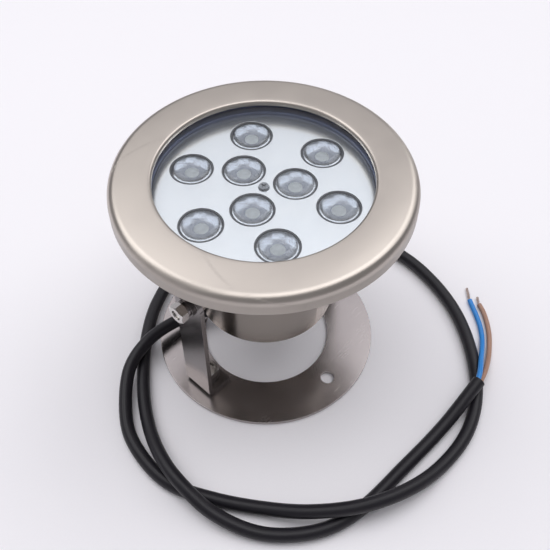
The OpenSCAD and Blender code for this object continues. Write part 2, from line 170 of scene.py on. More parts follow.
def tube_mesh(name, line, rings, sides, first_way=None):
    """Sweeps a round tube. rings says, for each of its rings, which point of the line it is on, how far
    behind that point it lies and its radius, so that an end can turn inwards and become a real wall."""
    ways = ways_along(line, first_way)
    mesh = bmesh.new()
    uv = mesh.loops.layers.uv.new("UVMap")
    side = Vector((1, 0, 0)) if abs(ways[0].x) < 0.9 else Vector((0, 1, 0))
    across = []
    for way in ways:
        side = (side - side.dot(way) * way).normalized()
        across.append(side)
    along = [0.0]
    for a, b in zip(line, line[1:]):
        along.append(along[-1] + (b - a).length)
    made = []
    for i, back, radius in rings:
        u, v = across[i], ways[i].cross(across[i])
        made.append([mesh.verts.new(line[i] - back * ways[i] + radius * (
            math.cos(math.tau * k / sides) * u + math.sin(math.tau * k / sides) * v)) for k in range(sides)])
    for r, (a, b) in enumerate(zip(made, made[1:])):
        heights = along[rings[r][0]], along[rings[r + 1][0]]
        for k in range(sides):
            m = (k + 1) % sides
            face = mesh.faces.new((a[k], a[m], b[m], b[k]))
            corners = ((k, 0), (k + 1, 0), (k + 1, 1), (k, 1))
            for loop, (turn, end) in zip(face.loops, corners):
                loop[uv].uv = (turn / sides, heights[end])
    mesh.faces.new(list(reversed(made[0])))
    mesh.faces.new(made[-1])
    bmesh.ops.recalc_face_normals(mesh, faces=mesh.faces)
    return object_from(mesh, name)


def object_from(mesh, name, sharp_above=35):
    """Puts a finished mesh in the scene, smooth but for edges sharper than the given angle."""
    data = bpy.data.meshes.new(name)
    mesh.to_mesh(data)
    mesh.free()
    for polygon in data.polygons:
        polygon.use_smooth = True
    data.set_sharp_from_angle(angle=math.radians(sharp_above))
    made = bpy.data.objects.new(name, data)
    scene.collection.objects.link(made)
    return made


# %% [markdown]
# The jacket is a thick rubber sleeve, so its far end is cut square and shows a wall with the two cores
# coming out. The tube's last rings therefore turn inwards and go a little way back into the sleeve.

# %% Make the cable and the two cores
SLEEVE_R = 3.35 * MM
SLEEVE_DEPTH = 4 * MM
last = len(cable_line) - 1
cut_edge = 0.25 * MM
cable_rings = [(i, 0, CABLE_D / 2) for i in range(last)] + [
    (last, cut_edge, CABLE_D / 2), (last, 0, CABLE_D / 2 - cut_edge),
    (last, 0, SLEEVE_R), (last, SLEEVE_DEPTH, SLEEVE_R)]
cable = tube_mesh("power_cable_jacket", cable_line, cable_rings, 28, (0, 0, -1))
cut_way = ways_along(cable_line)[-1]


def core_tube(name, points):
    line = smooth_route(points, 8)
    inside = line[0] - cut_way * (SLEEVE_DEPTH * 0.9)
    line = [inside] + line
    end = len(line) - 1
    rings = [(i, 0, CORE_D / 2) for i in range(end)] + [
        (end, 0.15 * MM, CORE_D / 2), (end, 0, CORE_D / 2 - 0.15 * MM),
        (end, 0, CORE_D * 0.3), (end, 0.5 * MM, CORE_D * 0.3)]
    return tube_mesh(name, line, rings, 18), line


blue_core, blue_line = core_tube("core_blue_sleeve", BLUE_POINTS)
brown_core, brown_line = core_tube("core_brown_sleeve", BROWN_POINTS)
print("core lengths in m:", round(length_of(blue_line), 4), round(length_of(brown_line), 4))

# %% [markdown]
# ## Helpers for Geometry Nodes
# Wires, threads and turned parts all follow a rule, so node trees make them: change one number and the
# piece follows. A modifier that stays on an object would be exported as instances or not at all, so each
# result is turned into a plain mesh and the helper object is thrown away.


# %% Add nodes and turn a tree's result into a mesh
def add(tree, kind, links=None, **settings):
    """Adds one node to a tree. settings are the node's own options, and links gives its inputs, each a
    plain value or another node's output. An input goes by its name, or by its number where two share one."""
    node = tree.nodes.new(kind)
    for name, value in settings.items():
        setattr(node, name, value)
    for name, value in (links or {}).items():
        socket = node.inputs[name] if isinstance(name, int) else next(
            s for s in node.inputs if s.name == name and s.enabled)
        if isinstance(value, bpy.types.NodeSocket):
            tree.links.new(value, socket)
        else:
            socket.default_value = value
    return node


def out(node, name=None):
    """A node's first live output, or the live one with that name."""
    return next(s for s in node.outputs if s.enabled and name in (None, s.name))


def new_tree(name, inputs):
    """An empty Geometry Nodes tree. Returns the tree, its input node and its inputs' identifiers."""
    tree = bpy.data.node_groups.new(name, "GeometryNodeTree")
    tree.interface.new_socket("Geometry", in_out="INPUT", socket_type="NodeSocketGeometry")
    names = {}
    for label, kind in inputs:
        socket = tree.interface.new_socket(label, in_out="INPUT", socket_type="NodeSocket" + kind)
        names[label] = socket.identifier
    tree.interface.new_socket("Geometry", in_out="OUTPUT", socket_type="NodeSocketGeometry")
    return tree, tree.nodes.new("NodeGroupInput"), names


def end_tree(tree, geometry, finish):
    """Every tree ends by making real geometry and giving it its material."""
    real = add(tree, "GeometryNodeRealizeInstances", {"Geometry": geometry})
    painted = add(tree, "GeometryNodeSetMaterial", {"Geometry": real.outputs[0], "Material": finish})
    add(tree, "NodeGroupOutput", {"Geometry": painted.outputs[0]})


def grown(name, start, tree, names, values, sharp_above=35):
    """Runs a tree on a starting mesh and returns its result as one plain object."""
    seed_mesh = bpy.data.meshes.new(name + "_start")
    seed_mesh.from_pydata(*start)
    helper = bpy.data.objects.new(name + "_start", seed_mesh)
    scene.collection.objects.link(helper)
    modifier = helper.modifiers.new("grow", "NODES")
    modifier.node_group = tree
    for label, value in values.items():
        modifier[names[label]] = value
    evaluated = helper.evaluated_get(bpy.context.evaluated_depsgraph_get())
    result = bpy.data.meshes.new_from_object(evaluated)
    bpy.data.objects.remove(helper)
    mesh = bmesh.new()
    mesh.from_mesh(result)
    bmesh.ops.recalc_face_normals(mesh, faces=mesh.faces)
    made = object_from(mesh, name, sharp_above)
    made.data.materials.append(next(material for material in result.materials if material))
    for polygon in made.data.polygons:
        polygon.material_index = 0
    return made


# %% [markdown]
# ## Helpers for finishes
# A finish starts from the real material and how its surface was made. Colours are written the way a
# colour picker shows them and turned to the linear values that the shader needs. Metals here are all
# stainless steel, so one function gives them their grain, and each caller says how coarse and which way.


# %% Colours and a first shader
def srgb(code, alpha=1.0):
    """A hex colour as a colour picker shows it, turned to linear."""
    parts = [int(code[i:i + 2], 16) / 255 for i in (1, 3, 5)]
    return tuple(c / 12.92 if c <= 0.04045 else ((c + 0.055) / 1.055) ** 2.4 for c in parts) + (alpha,)


def new_material(name):
    """A material with only a Principled shader. Returns the material, its tree and the shader."""
    material = bpy.data.materials.new(name)
    material.use_nodes = True
    tree = material.node_tree
    tree.nodes.clear()
    shader = add(tree, "ShaderNodeBsdfPrincipled")
    add(tree, "ShaderNodeOutputMaterial", {"Surface": out(shader)})
    return material, tree, shader


def constants(shader, **values):
    """Sets plain numbers and colours on the shader's own sockets: metallic=1, coat_weight=0.3."""
    for name, value in values.items():
        shader.inputs[name.replace("_", " ").title().replace("Ior", "IOR")].default_value = value


def ramp(tree, value, low, high, from_low=0.0, from_high=1.0):
    """Takes a pattern's values to the range that a socket needs."""
    return out(add(tree, "ShaderNodeMapRange", {
        "Value": value, "From Min": from_low, "From Max": from_high, "To Min": low, "To Max": high}))


def blend_colours(tree, amount, one, other):
    return out(add(tree, "ShaderNodeMix", {"Factor": amount, "A": one, "B": other}, data_type="RGBA"))


def maths(tree, operation, one, other=0.0):
    return out(add(tree, "ShaderNodeMath", {0: one, 1: other}, operation=operation))


def place(tree):
    """Each point's place in the row frame, in metres, because every finished piece sits at the origin."""
    return out(add(tree, "ShaderNodeTexCoord"), "Object")


def noise(tree, vector, scale, detail=2.0, roughness=0.5):
    return out(add(tree, "ShaderNodeTexNoise", {
        "Vector": vector, "Scale": scale, "Detail": detail, "Roughness": roughness}))


def bump(tree, shader, height, depth, strength=1.0):
    """Lets a pattern from 0 to 1 stand depth metres proud."""
    bumped = add(tree, "ShaderNodeBump", {"Height": height, "Distance": depth, "Strength": strength})
    tree.links.new(out(bumped), shader.inputs["Normal"])


# %% [markdown]
# ## The floor and the light
# A plain pale sheet carries the lamp, and the light is that of a small product table: a pale room that is
# brightest high up behind the lamp, two large soft panels at the sides and one above. Steel shows mostly
# what it mirrors, so the places of the bright walls matter more for the ring's sheen than its own colour
# does. The right panel is the stronger one, which puts the soft shadows on the left.

# %% Floor, room and panels
scene.view_settings.view_transform = "Standard"

floor_mesh = bmesh.new()
bmesh.ops.create_grid(floor_mesh, x_segments=2, y_segments=2, size=3.0)
floor = object_from(floor_mesh, "studio_floor")
floor_paper, tree, shader = new_material("matt_white_table")
speckle = noise(tree, place(tree), 900, 3)
tree.links.new(blend_colours(tree, speckle, srgb("#f3f1f5"), srgb("#f7f5f8")), shader.inputs["Base Color"])
constants(shader, roughness=0.75, specular_ior_level=0.15)
floor.data.materials.append(floor_paper)

room = bpy.data.worlds.new("pale_room")
room.use_nodes = True
scene.world = room
BRIGHTEST = (0.25, 0.24, 0.94)
ROOM_LIGHT = 1.13
ROOM_DIM = 0.35
DIM_FROM = 0.6
sky_tree = room.node_tree
sky = sky_tree.nodes["Background"]
sky.inputs["Color"].default_value = srgb("#f2f1f6")
towards = add(sky_tree, "ShaderNodeVectorMath", {
    0: out(add(sky_tree, "ShaderNodeTexCoord"), "Generated"), 1: BRIGHTEST}, operation="DOT_PRODUCT")
brightness = ramp(sky_tree, out(towards, "Value"), ROOM_DIM, ROOM_LIGHT, DIM_FROM, 1.0)
sky_tree.links.new(brightness, sky.inputs["Strength"])


def panel(name, towards, away, side, watts):
    """A square soft panel that faces the lamp. towards is where it stands: its turn and height in degrees."""
    turn, up = (math.radians(x) for x in towards)
    data = bpy.data.lights.new(name, "AREA")
    data.shape = "SQUARE"
    data.size = side
    data.energy = watts
    light = bpy.data.objects.new(name, data)
    back = Vector((math.sin(turn) * math.cos(up), -math.cos(turn) * math.cos(up), math.sin(up)))
    light.location = Vector((0, 0, 0.1)) + back * away
    light.rotation_euler = back.to_track_quat("Z", "Y").to_euler()
    scene.collection.objects.link(light)
    return light


panel("right_panel", (76, 50), 1.5, 1.1, 5.8)
panel("left_panel", (-160, 50), 1.5, 1.1, 6.2)
panel("top_panel", (-46, 82), 1.4, 0.9, 3.9)

# %% [markdown]
# ## Stainless steel
# The ring, the can, the base and the brackets are 304 stainless sheet and bar. Turned parts are finished
# with an abrasive held against them as they spin, which leaves fine grooves round the axis. Flat bar is
# belt-ground along its length. Grooves are too fine to be seen singly, so they show as a stretched sheen and
# a faint streak, which a noise drawn out along the groove gives. Grinding also leaves the surface
# slightly cloudy, so roughness drifts a little over a few centimetres.


# %% The steel finish
def grooves_round(tree, spacing):
    """A noise whose grains are rings round the Z axis, a given spacing apart in metres."""
    flat = add(tree, "ShaderNodeVectorMath", {0: place(tree), 1: (1, 1, 0)}, operation="MULTIPLY")
    radius = out(add(tree, "ShaderNodeVectorMath", {0: out(flat)}, operation="LENGTH"), "Value")
    turn = add(tree, "ShaderNodeVectorMath", {0: out(flat)}, operation="NORMALIZE")
    apart = add(tree, "ShaderNodeSeparateXYZ", {"Vector": out(turn)})
    height = out(add(tree, "ShaderNodeSeparateXYZ", {"Vector": place(tree)}), "Z")
    line = maths(tree, "DIVIDE", maths(tree, "ADD", radius, height), spacing)
    grain = add(tree, "ShaderNodeCombineXYZ", {
        "X": line, "Y": maths(tree, "MULTIPLY", out(apart, "X"), 3.0),
        "Z": maths(tree, "MULTIPLY", out(apart, "Y"), 3.0)})
    return noise(tree, out(grain), 1.0, 3, 0.6)


def grooves_along(tree, spacing, axis):
    """A noise whose grains run along one axis, a given spacing apart in metres."""
    stretch = [1 / spacing] * 3
    stretch[axis] = 0.03 / spacing
    drawn = add(tree, "ShaderNodeVectorMath", {0: place(tree), 1: stretch}, operation="MULTIPLY")
    return noise(tree, out(drawn), 1.0, 3, 0.6)


def stainless(name, colour, roughness, grooves, depth=2e-6, stretch=0.0, swirl=False, shaded_below=None):
    """Ground stainless steel. grooves draws its grain, and swirl stretches its sheen across grooves that
    run round a turned piece, for which that piece's own UV map gives the direction. The last argument gives
    two heights, between which the colour fades down to a painted shade, darker towards the bottom, that
    stands for the dim floor and room which an upright skirt mirrors."""
    material, tree, shader = new_material(name)
    grain = grooves(tree)
    cloud = noise(tree, place(tree), 55, 3)
    worn = maths(tree, "ADD", maths(tree, "MULTIPLY", grain, 0.35), maths(tree, "MULTIPLY", cloud, 0.65))
    darker = [c * 0.90 for c in srgb(colour)[:3]] + [1.0]
    ground = blend_colours(tree, worn, darker, srgb(colour))
    # Painted shade: below the given heights the colour falls to 0.68 of itself, for the dim floor and room
    # that an upright skirt mirrors.
    if shaded_below:
        height = out(add(tree, "ShaderNodeSeparateXYZ", {"Vector": place(tree)}), "Z")
        unshaded = ramp(tree, height, 0.0, 1.0, *shaded_below)
        ground = blend_colours(tree, unshaded, [c * 0.68 for c in srgb(colour)[:3]] + [1.0], ground)
    tree.links.new(ground, shader.inputs["Base Color"])
    tree.links.new(ramp(tree, worn, roughness - 0.05, roughness + 0.05, 0.3, 0.7), shader.inputs["Roughness"])
    constants(shader, metallic=1.0, anisotropic=stretch)
    bump(tree, shader, grain, depth, 0.5)
    if swirl:
        round_the_axis = add(tree, "ShaderNodeTangent", direction_type="UV_MAP", uv_map="UVMap")
        tree.links.new(out(round_the_axis), shader.inputs["Tangent"])
    return material


RING_STEEL = "#c5bdb5"
# Painted shade: the flat bar is darker than the ring, for the dark cable and room that the brackets' faces
# mirror.
SHADED_BAR_STEEL = "#878281"
ring_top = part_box("trim_ring")[1].z
# The ring's skirt below its shoulder gets a painted shade, darker towards its foot.
turned_steel = stainless("turned_satin_304", RING_STEEL, 0.34, lambda t: grooves_round(t, 0.35 * MM),
                         stretch=0.8, swirl=True, shaded_below=(ring_top - 6.5 * MM, ring_top - 3 * MM))
# Painted shade: the can's steel is darker than the ring's, for the ring's shadow and the dim floor that the
# can mirrors.
shaded_spun_steel = stainless("spun_satin_304_painted_shade", "#979089", 0.22, lambda t: grooves_round(t, 0.4 * MM))
shaded_bar_steel = stainless("ground_flat_bar_304_painted_shade", SHADED_BAR_STEEL, 0.21, lambda t: grooves_along(t, 0.3 * MM, 2))
bright_steel = stainless("bright_fastener_a2", "#d6d3d0", 0.17, lambda t: grooves_round(t, 0.5 * MM))
print("steel finishes:", [m.name for m in bpy.data.materials if "304" in m.name or "a2" in m.name])

# %% [markdown]
# ## Spinning an outline
# The trim ring, the seals and the lenses are all turned shapes: one outline carried once round an axis.
# Blender's Screw modifier does that too, but a node tree keeps the steps as a named input and can store a
# UV map that runs round the axis, which the brushed sheen needs. The tree lays out a grid, reads the
# outline's point for each row and turns it by the column's share of a full circle.


# %% The spinning tree
def spin_tree(name, finish):
    tree, inputs, names = new_tree(name, [("Steps Round", "Int")])
    outline, steps = out(inputs, "Geometry"), out(inputs, "Steps Round")
    count = out(add(tree, "GeometryNodeAttributeDomainSize", {"Geometry": outline}), "Point Count")
    columns = maths(tree, "ADD", steps, 1.0)
    sheet = add(tree, "GeometryNodeMeshGrid", {"Vertices X": count, "Vertices Y": columns})
    index = out(add(tree, "GeometryNodeInputIndex"))
    row = maths(tree, "FLOOR", maths(tree, "DIVIDE", maths(tree, "ADD", index, 0.5), columns))
    column = maths(tree, "SUBTRACT", index, maths(tree, "MULTIPLY", row, columns))
    share = maths(tree, "DIVIDE", column, steps)
    point = add(tree, "GeometryNodeSampleIndex", {
        "Geometry": outline, "Value": out(add(tree, "GeometryNodeInputPosition")), "Index": row},
        data_type="FLOAT_VECTOR")
    angle = maths(tree, "MULTIPLY", share, math.tau)
    turned = add(tree, "ShaderNodeVectorRotate", {"Vector": out(point), "Angle": angle},
                 rotation_type="Z_AXIS")
    laid = add(tree, "GeometryNodeSetPosition", {"Geometry": out(sheet), "Position": out(turned)})
    chart = add(tree, "ShaderNodeCombineXYZ", {"X": share, "Y": maths(tree, "DIVIDE", row, count)})
    mapped = add(tree, "GeometryNodeStoreNamedAttribute", {
        "Geometry": out(laid), "Name": "UVMap", "Value": out(chart)},
        data_type="FLOAT2", domain="CORNER")
    closed = add(tree, "GeometryNodeMergeByDistance", {"Geometry": out(mapped), "Distance": 1e-7})
    end_tree(tree, out(closed), finish)
    return tree, names


def spun(name, outline_mm, finish, steps=128, sharp_above=35, centre=(0, 0)):
    """A turned piece from its outline, given as (radius, height) in millimetres."""
    tree, names = spin_tree("spin_" + name, finish)
    points = [(r * MM, 0, z * MM) for r, z in outline_mm]
    made = grown(name, (points, [], []), tree, names, {"Steps Round": steps}, sharp_above)
    for vertex in made.data.vertices:
        vertex.co.x += centre[0] * MM
        vertex.co.y += centre[1] * MM
    return made


def arc(centre, radius, start, end, steps=6):
    """Points of a round stretch of an outline, from one angle to another in degrees."""
    angles = [math.radians(start + (end - start) * k / steps) for k in range(steps + 1)]
    return [(centre[0] + radius * math.cos(a), centre[1] + radius * math.sin(a)) for a in angles]


# %% [markdown]
# ## The trim ring
# One pressed and turned sheet: a crowned face, a rolled lip at the window, a rounded shoulder and a skirt
# with a small hem. It is the piece that the eye lands on, so its shoulder and lip are true arcs and its
# face is very slightly domed, which is what makes the sheen drift from one side of it to the other.

# %% Turn the trim ring
low, high = (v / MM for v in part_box("trim_ring"))
ring_r, top, skirt_foot = high.x, high.z, low.z
SHEET = 1.2
WINDOW_R = 57.2
LIP_R = 1.8
SHOULDER_R = 5.0
CROWN = 0.8
HEM = 0.05
face_in, face_out = WINDOW_R + LIP_R, ring_r - SHOULDER_R
shoulder_z = top - CROWN - SHOULDER_R


def face_points(drop, steps=10):
    """The face from the lip to the shoulder, falling ever faster, drop below its outer side."""
    shares = [k / steps for k in range(1, steps)]
    return [(face_in + (face_out - face_in) * s, top - CROWN * s ** 1.6 - drop) for s in shares]


outline = [(WINDOW_R, top - 2.8), (WINDOW_R, top - LIP_R)]
outline += arc((face_in, top - LIP_R), LIP_R, 168, 90)
outline += face_points(0)
outline += arc((face_out, shoulder_z), SHOULDER_R, 90, 0, 10)
outline += [(ring_r, shoulder_z - 0.6), (ring_r - HEM, shoulder_z - 1.3), (ring_r - HEM, skirt_foot + 1.5)]
outline += [(ring_r - 0.05, skirt_foot + 0.9), (ring_r, skirt_foot + 0.5)]
outline += arc((ring_r - 0.3, skirt_foot + 0.3), 0.3, 0, -90, 3)
outline += [(ring_r - SHEET, skirt_foot), (ring_r - SHEET, shoulder_z)]
outline += arc((face_out, shoulder_z), SHOULDER_R - SHEET, 0, 90)
outline += list(reversed(face_points(SHEET)))
outline += arc((face_in, top - LIP_R), LIP_R - SHEET, 90, 180)
outline += [(WINDOW_R + SHEET, top - 2.8), outline[0]]
trim_ring = spun("trim_ring_sheet", outline, turned_steel, steps=192)
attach(trim_ring, "head")
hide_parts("trim_ring")
print("trim ring faces:", len(trim_ring.data.polygons))

# %% [markdown]
# ## Glass and seals
# A disc of toughened glass, 5 mm thick with a ground edge, is squeezed between two silicone seals. Light
# has to reach the plate below it, and a pane this flat bends nothing that the eye would notice, so it is
# made of a see-through shader with a mirror mixed in, instead of a shader that bends light and blocks the
# lamps. The mirror's share grows towards a grazing view by Schlick's rule, which is the same from both
# sides of the pane. The lower seal stands up round the glass, and its dark wall is what the plate
# mirrors along its far edge.


# %% Glass pane and its finish
def see_through(name, tint, ior, smear_scale, smear_detail, least, most):
    """A clear skin with a Schlick mirror. Its roughness drifts from least to most, like a faint smear."""
    material = bpy.data.materials.new(name)
    material.use_nodes = True
    tree = material.node_tree
    tree.nodes.clear()
    smear = ramp(tree, noise(tree, place(tree), smear_scale, smear_detail), least, most)
    clear = add(tree, "ShaderNodeBsdfTransparent", {"Color": srgb(tint)})
    mirror = add(tree, "ShaderNodeBsdfGlossy", {"Color": srgb("#ffffff"), "Roughness": smear})
    head_on = ((ior - 1) / (ior + 1)) ** 2
    grazing = out(add(tree, "ShaderNodeLayerWeight", {"Blend": 0.5}), "Facing")
    share = ramp(tree, maths(tree, "POWER", grazing, 5.0), head_on, 1.0)
    skin = add(tree, "ShaderNodeMixShader", {0: share, 1: out(clear), 2: out(mirror)})
    add(tree, "ShaderNodeOutputMaterial", {"Surface": out(skin)})
    return material


GLASS_IOR = 1.5
toughened_glass = see_through("toughened_clear_glass", "#fdfefe", GLASS_IOR, 70, 3, 0.01, 0.04)
low, high = (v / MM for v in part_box("front_glass"))
glass_r, glass_low, glass_high = high.x, low.z, high.z
GROUND_EDGE = 0.6
outline = [(0, glass_low), (glass_r - GROUND_EDGE, glass_low), (glass_r, glass_low + GROUND_EDGE),
           (glass_r, glass_high - GROUND_EDGE), (glass_r - GROUND_EDGE, glass_high), (0, glass_high)]
front_glass = spun("front_glass_pane", outline, toughened_glass)
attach(front_glass, "head")
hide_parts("front_glass")
print("glass thickness in mm:", round(glass_high - glass_low, 2))

# %% Seals and their finish
seal_rubber, tree, shader = new_material("moulded_silicone_seal")
bloom = noise(tree, place(tree), 260, 3)
tree.links.new(blend_colours(tree, bloom, srgb("#46506f"), srgb("#566180")), shader.inputs["Base Color"])
tree.links.new(ramp(tree, bloom, 0.35, 0.5), shader.inputs["Roughness"])
bump(tree, shader, bloom, 2e-5, 0.4)

low, high = (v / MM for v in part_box("upper_gasket"))
SEAL_ROUND = 0.3
seal_in = face_in
outline = [(seal_in, low.z), (high.x, low.z), (high.x, high.z - SEAL_ROUND), (high.x - SEAL_ROUND, high.z),
           (seal_in + SEAL_ROUND, high.z), (seal_in, high.z - SEAL_ROUND), (seal_in, low.z)]
upper_seal = spun("upper_glass_seal", outline, seal_rubber)
low, high = (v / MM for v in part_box("lower_gasket"))
seat_in = high.x - 5.5
outline = [(seat_in, low.z), (high.x, low.z), (high.x, high.z), (glass_r, high.z),
           (glass_r, glass_low), (seat_in + SEAL_ROUND, glass_low), (seat_in, glass_low - SEAL_ROUND),
           (seat_in, low.z)]
lower_seal = spun("lower_glass_seal", outline, seal_rubber)
for seal, node in ((upper_seal, "upper_gasket"), (lower_seal, "lower_gasket")):
    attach(seal, "head")
    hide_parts(node)
print("seat opening radius in mm:", seat_in)

# %% [markdown]
# ## Softened copies of the machined parts
# Sheet and bar parts already have their right shape in the working model, but their edges are perfectly
# sharp, and a real edge always catches a thin line of light. So each such part is copied, its loose
# triangles are joined, its flat faces are cleaned up, and a small bevel rounds every edge. The bevel
# leaves custom normals that keep the flat faces looking flat.


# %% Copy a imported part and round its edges
def softened(node, name, finish, edge=0.25, above=32, segments=2):
    """A copy of a CAD node with its edges rounded by edge millimetres, which then stands for the node."""
    mesh = bmesh.new()
    mesh.from_mesh(frame["nodes"][node].data)
    bmesh.ops.remove_doubles(mesh, verts=mesh.verts, dist=2e-6)
    bmesh.ops.dissolve_limit(mesh, angle_limit=math.radians(0.5), verts=mesh.verts, edges=mesh.edges)
    made = object_from(mesh, name, above)
    made.data.materials.clear()
    made.data.materials.append(finish)
    rounding = made.modifiers.new("rounding", "BEVEL")
    rounding.width = edge * MM
    rounding.segments = segments
    rounding.limit_method = "ANGLE"
    rounding.angle_limit = math.radians(above)
    rounding.harden_normals = True
    evaluated = made.evaluated_get(bpy.context.evaluated_depsgraph_get())
    made.data = bpy.data.meshes.new_from_object(evaluated)
    made.modifiers.clear()
    made.data.name = name
    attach(made, frame["nodes"][node]["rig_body"])
    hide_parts(node)
    return made


# %% [markdown]
# ## The light unit
# Under the glass lies a round cover plate with nine holes and one screw. It has a pale, smooth, slightly
# metallic coat that mirrors the dark seal wall along its far edge and the pale room everywhere else.

# %% Cover plate and its coat
plate_coat, tree, shader = new_material("silver_white_baked_coat")
flow = noise(tree, place(tree), 120, 3)
tree.links.new(blend_colours(tree, flow, srgb("#f2f6fb"), srgb("#fafcff")), shader.inputs["Base Color"])
tree.links.new(ramp(tree, flow, 0.18, 0.25), shader.inputs["Roughness"])
constants(shader, metallic=0.9)
bump(tree, shader, noise(tree, place(tree), 1400, 2), 1.5e-6, 0.4)
cover_plate = softened("led_cover_plate", "led_cover_plate_coated", plate_coat, 0.12)
print("cover plate faces:", len(cover_plate.data.polygons))

# %% [markdown]
# ## The lenses
# Each diode has a moulded clear lens of 21.6 mm that gathers its light. Its outer wall is a bowl that
# mirrors light inside the plastic, so from the front one looks through a clear skin into what seems a
# silver bowl with a frosted middle over the diode. Bent light would be the plainest way to show this, but
# it leaves such a deep lens unlit in a render, so the skin is see-through with a Schlick mirror, like the
# pane, and the wall carries the mirror that the plastic makes there. The bowl is as shallow as it seems
# from outside, where the domed front lifts it almost to the plate. Its colour is a painted reflection,
# brightest near its rim and dark at its foot, with uneven painted streaks round it.

# %% The three finishes of one lens
ACRYLIC_IOR = 1.49
PAINTED_STREAK_SCALE = 3.5
lens_skin = see_through("moulded_clear_acrylic", "#f7f9fc", ACRYLIC_IOR, 400, 2, 0.02, 0.06)

lens_wall, tree, shader = new_material("mirroring_acrylic_wall")
ripple = noise(tree, place(tree), 900, 3)
chart = add(tree, "ShaderNodeSeparateXYZ", {"Vector": out(add(tree, "ShaderNodeUVMap", uv_map="UVMap"))})
around = maths(tree, "MULTIPLY", out(chart, "X"), math.tau)
painted_streaks = noise(tree, out(add(tree, "ShaderNodeCombineXYZ", {
    "X": maths(tree, "MULTIPLY", maths(tree, "COSINE", around), PAINTED_STREAK_SCALE),
    "Y": maths(tree, "MULTIPLY", maths(tree, "SINE", around), PAINTED_STREAK_SCALE)})), 1.0, 3)
# Painted reflection: the wall's colour runs from dark at its foot to bright at its rim, with uneven painted
# streaks round it.
painted_glow_to_rim = maths(tree, "ADD", ramp(tree, out(chart, "Y"), 0.0, 1.0, 0.22, 0.42),
                    ramp(tree, painted_streaks, -0.7, 0.5, 0.3, 0.7))
painted_wall_reflection = blend_colours(tree, painted_glow_to_rim, srgb("#525661"), srgb("#a2a5ac"))
tree.links.new(painted_wall_reflection, shader.inputs["Base Color"])
tree.links.new(ramp(tree, ripple, 0.12, 0.26), shader.inputs["Roughness"])
constants(shader, metallic=1.0)
bump(tree, shader, ripple, 6e-5, 0.5)

lens_middle, tree, shader = new_material("frosted_acrylic_middle")
frost = noise(tree, place(tree), 1600, 3)
tree.links.new(blend_colours(tree, frost, srgb("#a2a5ab"), srgb("#bfc1bd")), shader.inputs["Base Color"])
tree.links.new(ramp(tree, frost, 0.25, 0.4), shader.inputs["Roughness"])
print("lens finishes:", lens_skin.name, lens_wall.name, lens_middle.name)

# %% Turn one lens for each diode
crest_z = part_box("lens_1")[1].z / MM
LENS_R = 10.8
FRONT_R = 10.4
DISH_R = 4.6
BOWL_R = 10.2
BOWL_DEPTH = 2.2
MIDDLE_R = 3.8
MIDDLE_RISE = 1.1
BRIM_BELOW_CREST = 2.8
BRIM_T = 1.2
RIM_BELOW_CREST = 1.5
DOME_RISE = 1.3
brim_z = crest_z - BRIM_BELOW_CREST
rim_z = crest_z - RIM_BELOW_CREST


def bowl_z(radius):
    """The bowl's height: steep at its rim and almost flat round its middle."""
    return rim_z - BOWL_DEPTH * (1 - (radius / BOWL_R) ** 4)


def front_points(steps=8):
    """The front, domed from the rim to the edge of its dished middle."""
    shares = [k / steps for k in range(steps + 1)]
    return [(FRONT_R - (FRONT_R - DISH_R) * s, crest_z - DOME_RISE * (1 - s) ** 1.8) for s in shares]


def middle_points(steps=6):
    """The frosted middle, a small dome that rises inside the foot of the bowl."""
    radii = [MIDDLE_R * k / steps for k in range(steps + 1)]
    return [(r, bowl_z(MIDDLE_R) + MIDDLE_RISE * (1 - (r / MIDDLE_R) ** 2)) for r in radii]


bowl_radii = [MIDDLE_R + (BOWL_R - MIDDLE_R) * k / 14 for k in range(1, 15)]
lens_outline = middle_points() + [(r, bowl_z(r)) for r in bowl_radii] + [(BOWL_R + 0.1, brim_z)]
lens_outline += [(LENS_R, brim_z), (LENS_R, brim_z + BRIM_T), (FRONT_R + 0.1, brim_z + BRIM_T + 0.1)]
lens_outline += front_points()
lens_outline += [(DISH_R - 0.4, crest_z - 0.15), (DISH_R - 1.0, crest_z - 0.5), (DISH_R - 2.4, crest_z - 0.6),
                 (0, crest_z - 0.55)]
lenses = []
for number in range(1, 10):
    low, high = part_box(f"lens_{number}")
    middle = (low + high) / 2
    lens = spun(f"clear_lens_{number}", lens_outline, lens_skin, 72, 30, (middle.x / MM, middle.y / MM))
    lens.data.materials.append(lens_wall)
    lens.data.materials.append(lens_middle)
    for polygon in lens.data.polygons:
        from_axis = math.hypot(polygon.center.x - middle.x, polygon.center.y - middle.y) / MM
        if polygon.center.z / MM < bowl_z(from_axis) + MIDDLE_RISE + 0.05 and from_axis < BOWL_R + 0.02:
            polygon.material_index = 2 if from_axis < MIDDLE_R else 1
    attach(lens, "head")
    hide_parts(f"lens_{number}")
    lenses.append(lens)
print("lenses:", len(lenses), "faces each:", len(lenses[0].data.polygons))

# %% [markdown]
# ## What is behind the lenses
# Each lens sits in a dark moulded holder over a diode with a yellow phosphor face. These stay the packed
# parts, because their shapes are right, and only get a finish. The same goes for every piece sealed
# inside the head, so one short table pairs each with its finish.


# %% Plain finishes for moulded and hidden parts
def speckled(name, one, other, roughness, grain_mm, metallic=0.0, depth=1e-5):
    """A finish whose colour and roughness drift between two values at a real grain size."""
    material, tree, shader = new_material(name)
    grain = noise(tree, place(tree), 1 / (grain_mm * MM), 3)
    tree.links.new(blend_colours(tree, grain, srgb(one), srgb(other)), shader.inputs["Base Color"])
    tree.links.new(ramp(tree, grain, roughness - 0.05, roughness + 0.05), shader.inputs["Roughness"])
    constants(shader, metallic=metallic)
    bump(tree, shader, grain, depth, 0.4)
    return material


